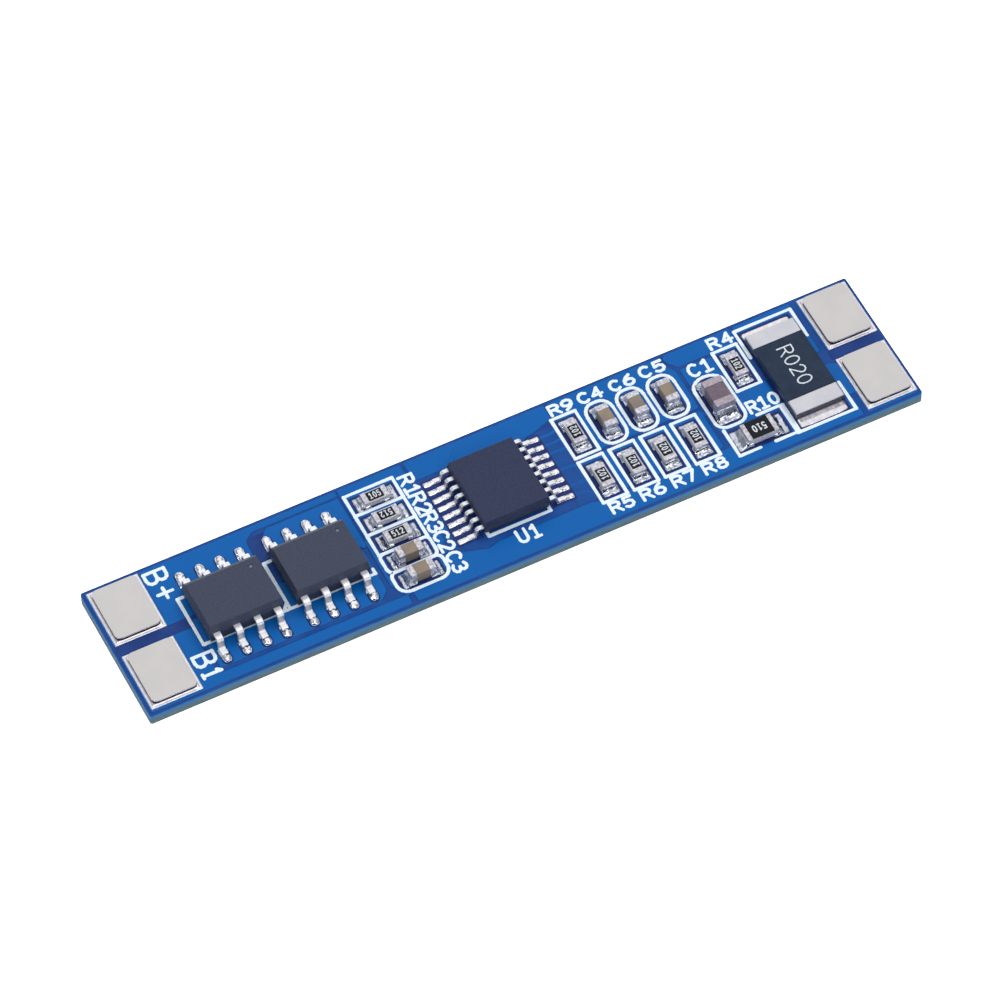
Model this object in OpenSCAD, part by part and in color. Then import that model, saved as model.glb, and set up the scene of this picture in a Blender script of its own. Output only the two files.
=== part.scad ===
// Battery management board for a small pack of cells: a narrow strip of glass-fibre laminate with
// two welding tabs at each end, two power transistors, a protection controller, a current shunt,
// ten chip resistors and six chip capacitors, all soldered on the upper face.
// Millimetres. X runs along the strip, Y across it and Z up. The origin is the centre of the underside.

/* [Board] */
// Length of the strip
board_length = 50; // [47:0.5:70]
// Width of the strip
board_width = 9.6; // [9:0.1:14]
// Thickness of the laminate
board_thickness = 0.8; // [0.4:0.1:1.6]
// Radius of the strip's corners
board_corner = 0.15; // [0.1:0.05:0.6]

/* [Welding tabs] */
// Length of each solder pad, along the strip
pad_length = 3.3; // [2.5:0.1:4.2]
// Bare laminate between the left pads and the strip's end
left_end_gap = 0.25; // [0.05:0.05:0.6]
// Bare laminate between the right pads and the strip's end
right_end_gap = 0.15; // [0.05:0.05:0.6]
// Bare laminate between the pads and the strip's long edges
pad_side_gap = 0.27; // [0.1:0.01:0.6]
// Channel between the two pads of an end
pad_channel = 0.74; // [0.4:0.02:1.5]
// Width of solder that shows round each tab
tab_border = 0.22; // [0.1:0.02:0.5]
// Thickness of the nickel tabs
tab_thickness = 0.3; // [0.1:0.05:0.6]
// Corner radius of the nickel tabs
tab_corner = 0.35; // [0.1:0.05:0.8]
// Thickness of the solder under the tabs
tab_solder = 0.08; // [0.04:0.01:0.2]

/* [Power transistors] */
// Distance between neighbouring leads
mosfet_pitch = 1.27; // [1.2:0.01:1.6]
// From the outer lead's centre to the end of the case
mosfet_case_end = 0.445; // [0.3:0.005:0.8]
// Width of the case, without leads
mosfet_case_width = 3.8; // [3.5:0.1:4.7]
// Height of the case
mosfet_case_height = 1.45; // [1.2:0.05:1.8]
// Width of a lead
mosfet_lead_width = 0.42; // [0.3:0.02:0.55]
// How far a lead stands out of the case
mosfet_lead_reach = 1.1; // [0.9:0.05:1.3]
// Thickness of the lead metal
mosfet_lead_metal = 0.2; // [0.12:0.02:0.26]

/* [Controller] */
// Distance between neighbouring leads
controller_pitch = 0.65; // [0.6:0.01:0.8]
// From the outer lead's centre to the end of the case
controller_case_end = 0.2; // [0.2:0.005:0.5]
// Width of the case, without leads
controller_case_width = 4.3; // [3.8:0.1:5.3]
// Height of the case
controller_case_height = 1; // [0.8:0.05:1.2]
// Width of a lead
controller_lead_width = 0.26; // [0.16:0.02:0.3]
// How far a lead stands out of the case
controller_lead_reach = 1; // [0.9:0.05:1.2]
// Thickness of the lead metal
controller_lead_metal = 0.14; // [0.1:0.02:0.18]

/* [Chip parts] */
// Length of a small chip
small_length = 1.6; // [1.4:0.1:2]
// Width of a small chip
small_width = 0.8; // [0.6:0.05:1]
// Height of a small chip resistor
small_resistor_height = 0.45; // [0.3:0.05:0.6]
// Height of a small chip capacitor
small_capacitor_height = 0.8; // [0.5:0.05:1]
// Length of a large chip
large_length = 2; // [1.8:0.1:2.4]
// Width of a large chip
large_width = 1.25; // [1:0.05:1.5]
// Height of the large chip resistor
large_resistor_height = 0.55; // [0.4:0.05:0.7]
// Height of the large chip capacitor
large_capacitor_height = 1; // [0.7:0.05:1.3]
// Length of a small resistor's metal ends
small_resistor_end = 0.32; // [0.2:0.02:0.5]
// Length of a small capacitor's metal ends
small_capacitor_end = 0.38; // [0.2:0.02:0.5]
// Length of the large resistor's metal ends
large_resistor_end = 0.28; // [0.2:0.02:0.5]
// Length of the large capacitor's metal ends
large_capacitor_end = 0.46; // [0.3:0.02:0.6]
// How far the solder runs out beyond a small chip's end
small_land = 0.5; // [0.3:0.05:0.7]
// How far the solder runs out beyond the end of a large chip or the shunt
large_land = 0.7; // [0.4:0.05:0.9]
// How far the solder runs out beyond each side of a chip
chip_side_land = 0.16; // [0.05:0.01:0.2]

/* [Shunt resistor] */
// Length of the shunt, across the strip
shunt_length = 6.4; // [5.2:0.1:7.7]
// Width of the shunt, along the strip
shunt_width = 3.2; // [2.6:0.1:3.9]
// Height of the shunt
shunt_height = 0.6; // [0.45:0.05:0.8]
// Length of the shunt's metal ends
shunt_end = 1.05; // [0.6:0.05:1.4]

/* [Spacing] */
// Clear width between the chips of the filter bank
bank_chip_gap = 1.23; // [0.8:0.01:1.6]
// Clear width between the solder of the bank's two rows
bank_row_gap = 0.94; // [0.3:0.02:1.5]
// From the long edges to the divider column's outer cells
column_margin = 1; // [0.4:0.02:1.2]
// Clear width between the large capacitor's solder and the large resistor
large_chip_gap = 0.82; // [0.6:0.02:1]

/* [Hidden] */
$fn = 48;
board_top = board_thickness;

// Solder
film = 0.04; // solder under every chip and lead
fillet_rim = 0.05; // height of a fillet's thin outer edge
fillet_climb = 0.7; // share of a chip's height that its solder climbs
fillet_steps = 8; // flats round a fillet's hollow curve

// Lead frames
case_draft = 8; // slope of a moulded case's sides, in degrees
lead_embed = 0.3; // length of lead held inside its case
lead_slope = 80; // angle of a lead's leg to the board
bend_steps = 6; // flats round a lead's bend
mosfet_leads = 4; // leads on each side
mosfet_stand = 0.15; // gap under the case
mosfet_shoulder = 0.25; // flat length of lead before its first bend
mosfet_bend = 0.2; // radius of a lead's bends, on its middle line
mosfet_toe_land = 0.55; // solder beyond the toe
mosfet_heel_land = 0.12; // solder behind the heel
mosfet_side_land = 0.1; // solder beyond each side of the foot
mosfet_chamfer = 0.3; // bevel along the top of the case on the first lead's side
mosfet_mark = 0.12; // radius of the first lead's dimple
mosfet_mark_inset = [0.7, 0.9]; // from the dimple to the case's end and side
mosfet_mark_depth = 0.05;
controller_leads = 8;
controller_stand = 0.1;
controller_shoulder = 0.28;
controller_bend = 0.14;
controller_toe_land = 0.65;
controller_heel_land = 0.1;
controller_side_land = 0.08;

// Chip parts
resistor_plate = 0.03; // thickness of a resistor's metal ends
capacitor_plate = 0.02; // how far a capacitor's metal ends stand out
coat_thickness = 0.05; // dark coat on a resistor
coat_margin = 0.09; // bare ceramic at each side of a small resistor's coat
shunt_plate = 0.06;
shunt_coat_thickness = 0.1;

// Sizes that follow from the ones above
mosfet_case_length = (mosfet_leads - 1) * mosfet_pitch + 2 * mosfet_case_end;
mosfet_size = [mosfet_case_length, mosfet_case_width, mosfet_case_height];
controller_case_length = (controller_leads - 1) * controller_pitch + 2 * controller_case_end;
controller_size = [controller_case_length, controller_case_width, controller_case_height];
controller_span = controller_case_width + 2 * controller_lead_reach;
pad_depth = (board_width - 2 * pad_side_gap - pad_channel) / 2;
tab_length = pad_length - 2 * tab_border;
tab_depth = pad_depth - 2 * tab_border;

// A chip is [length, width, height, length of its metal ends]
SMALL_RESISTOR = [small_length, small_width, small_resistor_height, small_resistor_end];
LARGE_RESISTOR = [large_length, large_width, large_resistor_height, large_resistor_end];
SMALL_CAPACITOR = [small_length, small_width, small_capacitor_height, small_capacitor_end];
LARGE_CAPACITOR = [large_length, large_width, large_capacitor_height, large_capacitor_end];
SHUNT = [shunt_length, shunt_width, shunt_height, shunt_end];

// Places along the strip: the parts in order, with a share of the free length in each gap, which are
// left pads, transistor 1, transistor 2, column, controller, bank, C1, R4, shunt and right pads
gap_shares = [1.61, 0.84, 1.35, 2.2, 2.22, 1.46, 1.06, 0.9, 0.92];
bank_columns = 4;
bank_pitch = small_width + bank_chip_gap;
part_lengths = [
    left_end_gap + pad_length,
    mosfet_case_length,
    mosfet_case_length,
    small_length + 2 * small_land,
    controller_span,
    (bank_columns - 1) * bank_pitch + small_width,
    large_width,
    small_width,
    shunt_width,
    pad_length + right_end_gap
];
function total(list, count) = count <= 0 ? 0 : list[count - 1] + total(list, count - 1);
free_length = board_length - total(part_lengths, len(part_lengths));
spread = free_length / total(gap_shares, len(gap_shares));
function part_start(i) = -board_length / 2 + total(part_lengths, i) + spread * total(gap_shares, i);
function part_middle(i) = part_start(i) + part_lengths[i] / 2;
mosfet_1_x = part_middle(1);
mosfet_2_x = part_middle(2);
column_x = part_middle(3);
controller_x = part_middle(4);
bank_x = part_start(5) + small_width / 2;
large_capacitor_x = part_middle(6);
sense_resistor_x = part_middle(7);
shunt_x = part_middle(8);

// Places across the strip
pads_y = 0.06;
controller_y = 0.27;
large_capacitor_y = 0.15;
column_cells = 5;
column_pitch = (board_width - 2 * column_margin) / column_cells;
bank_row_pitch = small_length + 2 * small_land + bank_row_gap;
upper_row_y = bank_row_pitch / 2;
lower_row_y = -bank_row_pitch / 2;
large_resistor_y = large_capacitor_y - large_length / 2 - large_land - large_chip_gap - large_width / 2;
large_resistor_x = shunt_x - shunt_width / 2 - 0.63 * spread - large_land - large_length / 2;

function column_place(row) = [column_x, ((column_cells - 1) / 2 - row) * column_pitch, 0];
function bank_place(column, row_y) = [bank_x + column * bank_pitch, row_y, 90];

// Each chip part is [name, size, [x, y, turn]]
RESISTORS = [
    ["r1", SMALL_RESISTOR, column_place(0)],
    ["r2", SMALL_RESISTOR, column_place(1)],
    ["r3", SMALL_RESISTOR, column_place(2)],
    ["r4", SMALL_RESISTOR, [sense_resistor_x, upper_row_y, 90]],
    ["r5", SMALL_RESISTOR, bank_place(0, lower_row_y)],
    ["r6", SMALL_RESISTOR, bank_place(1, lower_row_y)],
    ["r7", SMALL_RESISTOR, bank_place(2, lower_row_y)],
    ["r8", SMALL_RESISTOR, bank_place(3, lower_row_y)],
    ["r9", SMALL_RESISTOR, bank_place(0, upper_row_y)],
    ["r10", LARGE_RESISTOR, [large_resistor_x, large_resistor_y, 0]]
];
CAPACITORS = [
    ["c1", LARGE_CAPACITOR, [large_capacitor_x, large_capacitor_y, 90]],
    ["c2", SMALL_CAPACITOR, column_place(3)],
    ["c3", SMALL_CAPACITOR, column_place(4)],
    ["c4", SMALL_CAPACITOR, bank_place(1, upper_row_y)],
    ["c5", SMALL_CAPACITOR, bank_place(3, upper_row_y)],
    ["c6", SMALL_CAPACITOR, bank_place(2, upper_row_y)]
];
SHUNT_PLACE = [shunt_x, 0, 90];

// Each tab is [name, x, y] at the middle of its pad
left_pad_x = -board_length / 2 + left_end_gap + pad_length / 2;
right_pad_x = board_length / 2 - right_end_gap - pad_length / 2;
upper_pad_y = pads_y + (pad_channel + pad_depth) / 2;
lower_pad_y = pads_y - (pad_channel + pad_depth) / 2;
TABS = [
    ["tab_b_plus", left_pad_x, upper_pad_y],
    ["tab_b1", left_pad_x, lower_pad_y],
    ["tab_p_plus", right_pad_x, upper_pad_y],
    ["tab_p_minus", right_pad_x, lower_pad_y]
];

// A flat plate with round corners, standing on z = 0
module rounded_plate(length, depth, height, radius) {
    linear_extrude(height) {
        square([length - 2 * radius, depth], center = true);
        square([length, depth - 2 * radius], center = true);
        for (x = [-1, 1], y = [-1, 1])
            translate([x * (length / 2 - radius), y * (depth / 2 - radius)]) circle(radius);
    }
}

// Children on the board's upper face, at [x, y, turn]
module on_board(place) {
    translate([place[0], place[1], board_top]) rotate(place[2]) children();
}

// Children at both ends of a chip, each facing outwards from x = 0 at the end face
module at_both_ends(length) {
    for (side = [0, 180]) rotate(side) translate([length / 2, 0, 0]) children();
}

// A profile drawn as [outwards, up], given a width across
module across(width) {
    translate([0, width / 2, 0]) rotate([90, 0, 0]) linear_extrude(width) children();
}

// A box that is centred in X and Y and stands at a height
module slab(length, depth, low, high) {
    translate([-length / 2, -depth / 2, low]) cube([length, depth, high - low]);
}

module circuit_board() {
    color("royalblue") rounded_plate(board_length, board_width, board_thickness, board_corner);
}

// ---- Welding tabs ----

module tab(place) {
    color("gainsboro") translate([place[1], place[2], board_top + tab_solder])
        rounded_plate(tab_length, tab_depth, tab_thickness, tab_corner);
}

module terminal_solder() {
    color("silver") for (place = TABS)
        translate([place[1], place[2], board_top]) rounded_plate(pad_length, pad_depth, tab_solder, 0.1);
}

// ---- Moulded cases and their leads ----

// A moulded case slopes in from its middle height to its top and to its underside
module moulded_block(size) {
    half = size[2] / 2;
    setback = half * tan(case_draft);
    corners = [[-1, -1], [1, -1], [1, 1], [-1, 1]];
    function ring(inset, z) = [for (c = corners)
        [c[0] * (size[0] / 2 - inset), c[1] * (size[1] / 2 - inset), z]];
    sides = [for (low = [0, 4], i = [0 : 3]) let (next = (i + 1) % 4)
        [low + i, low + 4 + i, low + 4 + next, low + next]];
    polyhedron(
        points = concat(ring(setback, -half), ring(0, 0), ring(setback, half)),
        faces = concat([[0, 1, 2, 3]], sides, [[11, 10, 9, 8]]));
}

// One row of places along X for the leads of a side
module lead_row(count, pitch) {
    for (i = [0 : count - 1]) translate([(i - (count - 1) / 2) * pitch, 0, 0]) children();
}

// Both rows of leads, each child facing outwards along Y from the case's side
module both_rows(count, pitch, case_width) {
    for (side = [0, 180]) rotate(side)
        lead_row(count, pitch) translate([0, case_width / 2, 0]) rotate(90) children();
}

module moulded_case(size, stand, count, pitch, lead_width, lead_metal) {
    middle = stand + size[2] / 2;
    difference() {
        translate([0, 0, middle]) moulded_block(size);
        both_rows(count, pitch, size[1])
            translate([-lead_embed, -lead_width / 2, middle - lead_metal / 2])
                cube([lead_embed + 1, lead_width, lead_metal]);
    }
}

// Points round a bend: an arc about a centre between two angles
function arc(centre, radius, from, to) =
    [for (i = [0 : bend_steps]) let (a = from + (to - from) * i / bend_steps)
        centre + radius * [cos(a), sin(a)]];

// Outline of a gull-wing lead as [outwards, up], from inside the case down to its foot
function gull_wing(reach, exit_height, metal, shoulder, bend) =
    let (
        foot_height = film + metal / 2,
        leg = (exit_height - foot_height - 2 * bend * (1 - cos(lead_slope))) / sin(lead_slope),
        upper = [shoulder, exit_height - bend],
        lower = [shoulder + 2 * bend * sin(lead_slope) + leg * cos(lead_slope), foot_height + bend],
        outside = bend + metal / 2,
        inside = bend - metal / 2
    )
    concat(
        [[-lead_embed, exit_height + metal / 2]],
        arc(upper, outside, 90, 90 - lead_slope),
        arc(lower, inside, 270 - lead_slope, 270),
        [[reach, film + metal], [reach, film]],
        arc(lower, outside, 270, 270 - lead_slope),
        arc(upper, inside, 90 - lead_slope, 90),
        [[-lead_embed, exit_height - metal / 2]]
    );

// Where a lead's foot starts, measured outwards from the case
function heel(exit_height, metal, shoulder, bend) =
    let (leg = (exit_height - film - metal / 2 - 2 * bend * (1 - cos(lead_slope))) / sin(lead_slope))
    shoulder + 2 * bend * sin(lead_slope) + leg * cos(lead_slope);

// Solder under a foot, with a hollow fillet up its toe
function foot_solder(heel_at, toe_at, metal, heel_land, toe_land) =
    concat(
        [[heel_at - heel_land, 0], [toe_at + toe_land, 0]],
        hollow(toe_at, film + metal * 0.8, toe_land),
        [[toe_at, film], [heel_at - heel_land, film]]
    );

// The hollow curve of a fillet, from its rim inwards to the top
function hollow(start, top, land) =
    [for (i = [fillet_steps : -1 : 0]) let (a = 90 * i / fillet_steps)
        [start + land * (1 - cos(a)), top - (top - fillet_rim) * sin(a)]];

mosfet_exit = mosfet_stand + mosfet_case_height / 2;
mosfet_heel = heel(mosfet_exit, mosfet_lead_metal, mosfet_shoulder, mosfet_bend);
controller_exit = controller_stand + controller_case_height / 2;
controller_heel = heel(controller_exit, controller_lead_metal, controller_shoulder, controller_bend);

module mosfet_case(x) {
    mark_x = mosfet_case_length / 2 - mosfet_mark_inset[0];
    mark_y = mosfet_case_width / 2 - mosfet_mark_inset[1];
    top = mosfet_stand + mosfet_case_height;
    top_edge = mosfet_case_width / 2 - mosfet_case_height / 2 * tan(case_draft);
    color("#3a3b44") on_board([x, 0, 0]) difference() {
        moulded_case(mosfet_size, mosfet_stand, mosfet_leads, mosfet_pitch, mosfet_lead_width, mosfet_lead_metal);
        translate([mark_x, mark_y, top - mosfet_mark_depth]) cylinder(h = 1, r = mosfet_mark);
        translate([-mosfet_case_length, top_edge - mosfet_chamfer, top]) rotate([-45, 0, 0])
            cube([2 * mosfet_case_length, 1, 1]);
    }
}

module mosfet_leads(x) {
    color("silver") on_board([x, 0, 0]) both_rows(mosfet_leads, mosfet_pitch, mosfet_case_width)
        across(mosfet_lead_width) polygon(gull_wing(
            mosfet_lead_reach, mosfet_exit, mosfet_lead_metal, mosfet_shoulder, mosfet_bend));
}

module controller_case() {
    color("#33343e") on_board([controller_x, controller_y, 90]) moulded_case(
        controller_size, controller_stand, controller_leads, controller_pitch,
        controller_lead_width, controller_lead_metal);
}

module controller_leads() {
    color("silver") on_board([controller_x, controller_y, 90])
        both_rows(controller_leads, controller_pitch, controller_case_width)
            across(controller_lead_width) polygon(gull_wing(
                controller_lead_reach, controller_exit, controller_lead_metal,
                controller_shoulder, controller_bend));
}

module lead_solder() {
    color("lightgray") {
        for (x = [mosfet_1_x, mosfet_2_x]) on_board([x, 0, 0])
            both_rows(mosfet_leads, mosfet_pitch, mosfet_case_width)
                across(mosfet_lead_width + 2 * mosfet_side_land) polygon(foot_solder(
                    mosfet_heel, mosfet_lead_reach, mosfet_lead_metal, mosfet_heel_land, mosfet_toe_land));
        on_board([controller_x, controller_y, 90])
            both_rows(controller_leads, controller_pitch, controller_case_width)
                across(controller_lead_width + 2 * controller_side_land) polygon(foot_solder(
                    controller_heel, controller_lead_reach, controller_lead_metal,
                    controller_heel_land, controller_toe_land));
    }
}

// ---- Chip parts: each stands on its solder film ----

// A resistor's metal end wraps the top, the end and the underside of its ceramic
module wrapped_end(size, plate) {
    across(size[1]) polygon([
        [-size[3], film], [0, film], [0, film + size[2]], [-size[3], film + size[2]],
        [-size[3], film + size[2] - plate], [-plate, film + size[2] - plate],
        [-plate, film + plate], [-size[3], film + plate]
    ]);
}

module resistor_substrate(part, plate) {
    size = part[1];
    color("#c9c6c2") on_board(part[2]) slab(size[0] - 2 * plate, size[1], film + plate, film + size[2] - plate);
}

module resistor_coat(part, plate, thickness, margin) {
    size = part[1];
    low = film + size[2] - plate;
    color("#2c2e36") on_board(part[2])
        slab(size[0] - 2 * size[3], size[1] - 2 * margin, low, low + thickness);
}

module resistor_caps(part, plate) {
    size = part[1];
    color("silver") on_board(part[2]) at_both_ends(size[0]) wrapped_end(size, plate);
}

// A capacitor's metal end is a cup over the end of its ceramic
module capacitor_ceramic(part) {
    size = part[1];
    color("#a98a66") on_board(part[2]) slab(
        size[0] - 2 * capacitor_plate, size[1] - 2 * capacitor_plate,
        film + capacitor_plate, film + size[2] - capacitor_plate);
}

module capacitor_caps(part) {
    size = part[1];
    color("silver") on_board(part[2]) at_both_ends(size[0]) difference() {
        translate([-size[3], -size[1] / 2, film]) cube([size[3], size[1], size[2]]);
        translate([-size[3] - 1, -size[1] / 2 + capacitor_plate, film + capacitor_plate])
            cube([size[3] + 1 - capacitor_plate, size[1] - 2 * capacitor_plate, size[2] - 2 * capacitor_plate]);
    }
}

// Solder under a chip's metal end, with a hollow fillet up its end face
function chip_fillet(size, land) =
    concat(
        [[-size[3], 0], [land, 0]],
        hollow(0, film + size[2] * fillet_climb, land),
        [[0, film], [-size[3], film]]
    );

module chip_solder() {
    color("lightgray") {
        for (part = concat(RESISTORS, CAPACITORS))
            on_board(part[2]) at_both_ends(part[1][0]) across(part[1][1] + 2 * chip_side_land)
                polygon(chip_fillet(part[1], part[1][1] == small_width ? small_land : large_land));
        on_board(SHUNT_PLACE) at_both_ends(shunt_length) across(shunt_width) polygon(chip_fillet(SHUNT, large_land));
    }
}

shunt = ["shunt", SHUNT, SHUNT_PLACE];
circuit_board();
terminal_solder();
chip_solder();
lead_solder();
for (place = TABS)
    tab(place);
mosfet_case(mosfet_1_x);  // mosfet_1_case
mosfet_leads(mosfet_1_x);  // mosfet_1_leads
mosfet_case(mosfet_2_x);  // mosfet_2_case
mosfet_leads(mosfet_2_x);  // mosfet_2_leads
controller_case();
controller_leads();
resistor_substrate(shunt, shunt_plate);  // shunt_substrate
resistor_coat(shunt, shunt_plate, shunt_coat_thickness, 0);  // shunt_coat
resistor_caps(shunt, shunt_plate);  // shunt_caps
for (part = RESISTORS) {
    resistor_substrate(part, resistor_plate);
    resistor_coat(part, resistor_plate, coat_thickness, part[1] == LARGE_RESISTOR ? 0 : coat_margin);
    resistor_caps(part, resistor_plate);
}
for (part = CAPACITORS) {
    capacitor_ceramic(part);
    capacitor_caps(part);
}
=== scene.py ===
import math

import bmesh
import bpy
from mathutils import Matrix, Vector, noise


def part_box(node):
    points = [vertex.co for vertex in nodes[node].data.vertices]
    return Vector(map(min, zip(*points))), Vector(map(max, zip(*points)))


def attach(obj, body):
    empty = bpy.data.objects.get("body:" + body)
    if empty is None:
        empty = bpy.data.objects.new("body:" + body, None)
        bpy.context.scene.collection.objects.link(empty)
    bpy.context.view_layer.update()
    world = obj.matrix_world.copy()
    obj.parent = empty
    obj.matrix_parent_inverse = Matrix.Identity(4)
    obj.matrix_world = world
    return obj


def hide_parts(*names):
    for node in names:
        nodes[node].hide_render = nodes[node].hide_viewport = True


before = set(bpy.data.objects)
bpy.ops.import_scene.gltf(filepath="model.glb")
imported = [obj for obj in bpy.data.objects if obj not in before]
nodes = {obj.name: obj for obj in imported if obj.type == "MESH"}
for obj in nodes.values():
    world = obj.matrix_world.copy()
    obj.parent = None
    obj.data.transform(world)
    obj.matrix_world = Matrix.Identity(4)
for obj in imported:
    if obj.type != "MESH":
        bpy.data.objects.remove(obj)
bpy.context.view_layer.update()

# ---------------------------------------------------------------- laminate
# The strip itself: 0.8 mm of woven glass and epoxy, routed out of a panel, so its sides show the
# grey-blue layers of cloth. Both faces carry blue solder mask.
MM = 0.001
strip_low, strip_high = (Vector(corner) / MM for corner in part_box("circuit_board"))
face_z = strip_high.z  # everything below is drawn in millimetres and scaled once it is finished


def paint(red, green, blue):
    """A colour given as it looks on screen, 0 to 255, in the renderer's linear values."""
    shares = (red / 255, green / 255, blue / 255)
    return [((s + 0.055) / 1.055) ** 2.4 if s > 0.04045 else s / 12.92 for s in shares] + [1.0]


def add_node(tree, kind, **sockets):
    made = tree.nodes.new("ShaderNode" + kind)
    for socket, value in sockets.items():
        made.inputs[socket.replace("_", " ")].default_value = value
    return made


def speckle(tree, grain, stretch, detail=2.0):
    """Noise fixed to the object, with spots about one grain (in millimetres) across."""
    place = tree.nodes.new("ShaderNodeTexCoord")
    spread = add_node(tree, "Mapping", Scale=[s / (grain * MM) for s in stretch])
    spots = add_node(tree, "TexNoise", Scale=1.0, Detail=detail, Roughness=0.55)
    tree.links.new(place.outputs["Object"], spread.inputs["Vector"])
    tree.links.new(spread.outputs["Vector"], spots.inputs["Vector"])
    return spots.outputs["Fac"]


def blend_colours(tree, amount, first, second):
    """Runs from the first colour to the second over the middle third of the noise."""
    ramp = tree.nodes.new("ShaderNodeValToRGB")
    for stop, position, colour in zip(ramp.color_ramp.elements, (0.35, 0.65), (first, second)):
        stop.position = position
        stop.color = colour
    tree.links.new(amount, ramp.inputs["Fac"])
    return ramp.outputs["Color"]


def finish(name, first, second, grain, roughness, metallic=0.0, specular=0.5,
           dent=0.0, dent_grain=0.1, stretch=(1, 1, 1), wear=0.0):
    """A surface of two mottled colours, with small dents that are dent deep and dent_grain across."""
    made = bpy.data.materials.new(name)
    made.use_nodes = True
    tree = made.node_tree
    shader = tree.nodes["Principled BSDF"]
    shader.inputs["Roughness"].default_value = roughness
    shader.inputs["Metallic"].default_value = metallic
    shader.inputs["Specular IOR Level"].default_value = specular
    colour = blend_colours(tree, speckle(tree, grain, stretch), first, second)
    tree.links.new(colour, shader.inputs["Base Color"])
    if wear:
        range_of = add_node(tree, "MapRange", To_Min=roughness - wear, To_Max=roughness + wear)
        tree.links.new(speckle(tree, grain * 0.6, stretch), range_of.inputs["Value"])
        tree.links.new(range_of.outputs["Result"], shader.inputs["Roughness"])
    if dent:
        bump = add_node(tree, "Bump", Distance=dent * MM, Strength=1.0)
        tree.links.new(speckle(tree, dent_grain, stretch, 3.0), bump.inputs["Height"])
        tree.links.new(bump.outputs["Normal"], shader.inputs["Normal"])
    return made


def band_by_height(surface, other, start, full):
    """Changes a surface's colour with height over the underside: not at all at start, wholly at full."""
    tree = surface.node_tree
    shader = tree.nodes["Principled BSDF"]
    height = tree.nodes.new("ShaderNodeSeparateXYZ")
    tree.links.new(tree.nodes.new("ShaderNodeTexCoord").outputs["Object"], height.inputs[0])
    share = add_node(tree, "MapRange", From_Min=start * MM, From_Max=full * MM)
    tree.links.new(height.outputs["Z"], share.inputs["Value"])
    mixed = tree.nodes.new("ShaderNodeMix")
    mixed.data_type = "RGBA"
    mixed.inputs["B"].default_value = other
    tree.links.new(share.outputs["Result"], mixed.inputs["Factor"])
    tree.links.new(shader.inputs["Base Color"].links[0].from_socket, mixed.inputs["A"])
    tree.links.new(mixed.outputs["Result"], shader.inputs["Base Color"])


def soften(piece, surface, edge, steps=2):
    """Finishes a CAD piece: its facets are joined and its sharp edges rounded."""
    piece.data.materials.clear()
    piece.data.materials.append(surface)
    joined = piece.modifiers.new("joined", "WELD")
    joined.merge_threshold = 1e-7
    rounded = piece.modifiers.new("rounded", "BEVEL")
    rounded.width, rounded.segments = edge * MM, steps
    rounded.limit_method, rounded.angle_limit = "ANGLE", math.radians(35)


laminate = finish("laminate", paint(82, 108, 114), paint(101, 126, 130), grain=0.35, roughness=0.7,
                  specular=0.3, dent=0.012, dent_grain=0.06, stretch=(0.25, 0.25, 3.0))
LACQUER_BLUE = paint(20, 82, 158)
# the sides turn bluer on the way up, and lacquer runs over the rim of each face
band_by_height(laminate, paint(50, 120, 182), 0.3, face_z - 0.15)
band_by_height(laminate, LACQUER_BLUE, face_z - 0.12, face_z - 0.05)
band_by_height(laminate, LACQUER_BLUE, 0.03, 0.01)
soften(nodes["circuit_board"], laminate, 0.03)

# ---------------------------------------------------------------- solder mask and copper
# A blue lacquer over the whole strip. Where copper lies under it the lacquer stands higher and looks
# brighter, so the pours and tracks show as raised shapes with darker channels between them.
MASK_Z = face_z + 0.01
COPPER_Z = face_z + 0.022
CLEARANCE_Z = face_z + 0.025
SUNK_Z = MASK_Z - 0.002  # foot of each raised shape, just inside the sheet it stands on
EDGE_GAP = 0.14  # bare rim between the copper and the strip's edges


def plate(bm, outline, low, high, corner=0.0, slope=0.0):
    """A flat sheet with this outline, its corners rounded and its rim rising over a slope's width."""
    before = set(bm.faces)
    sheet = bm.faces.new([bm.verts.new((x, y, low)) for x, y in outline])
    if corner:
        bmesh.ops.bevel(bm, geom=list(sheet.verts), offset=corner, offset_type="OFFSET", segments=4,
                        profile=0.5, affect="VERTICES", material=-1)
        sheet = next(f for f in bm.faces if f not in before)
    raised = bmesh.ops.extrude_face_region(bm, geom=[sheet])["geom"]
    upper = next(f for f in raised if isinstance(f, bmesh.types.BMFace))
    foot = (high - low) * 0.2 if slope else high - low
    bmesh.ops.translate(bm, vec=(0, 0, foot), verts=upper.verts)
    if slope:  # after a short upright foot
        bmesh.ops.inset_region(bm, faces=[upper], thickness=slope, use_even_offset=True)
        bmesh.ops.translate(bm, vec=(0, 0, high - low - foot), verts=upper.verts)
    bmesh.ops.recalc_face_normals(bm, faces=[f for f in bm.faces if f not in before])


def box_outline(x0, y0, x1, y1):
    return [(x0, y0), (x1, y0), (x1, y1), (x0, y1)]


def place_piece(name, bm, surface, smooth=False, replaces=()):
    """Scales a finished mesh to metres and fixes it to the strip."""
    bmesh.ops.scale(bm, vec=(MM, MM, MM), verts=bm.verts)
    mesh = bpy.data.meshes.new(name)
    bm.to_mesh(mesh)
    bm.free()
    mesh.materials.append(surface)
    mesh.polygons.foreach_set("use_smooth", [smooth] * len(mesh.polygons))
    piece = bpy.data.objects.new(name, mesh)
    bpy.context.scene.collection.objects.link(piece)
    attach(piece, "root")
    if replaces:
        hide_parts(*replaces)


def box_of(node):
    """A CAD node's low corner, high corner and middle, in millimetres."""
    low, high = (Vector(corner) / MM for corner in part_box(node))
    return low, high, (low + high) / 2


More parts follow.
